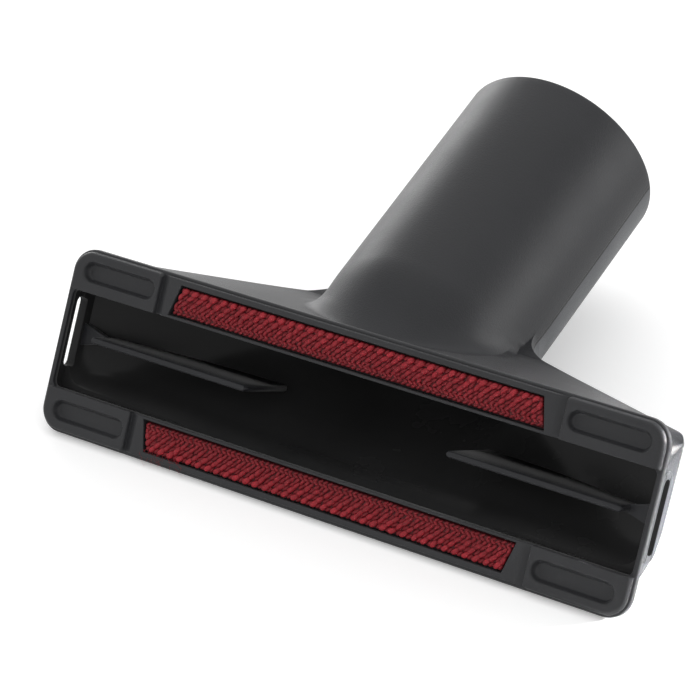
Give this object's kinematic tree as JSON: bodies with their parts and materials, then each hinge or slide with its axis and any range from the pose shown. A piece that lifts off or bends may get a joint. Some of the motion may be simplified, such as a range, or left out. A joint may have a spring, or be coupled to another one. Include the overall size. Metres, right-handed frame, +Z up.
{
  "type": "vacuum nozzle",
  "caption": "Upholstery nozzle: a wide flat mouth with red lint strips, narrowing like a fishtail into a slanted round neck that takes a suction tube.",
  "frame": {"origin": "middle of the footprint, on the table the nozzle lies on", "axes": "+X along the mouth, +Y from the mouth towards the neck's end, +Z up"},
  "size_m": [0.125, 0.094, 0.0494],
  "materials": {
    "charcoal_plastic": "fine satin grain",
    "red_pile_fabric": "looped pile"
  },
  "bodies": {
    "root": {"nozzle_body": "charcoal_plastic", "upper_lint_strip": "red_pile_fabric", "lower_lint_strip": "red_pile_fabric"}
  },
  "joints": []
}
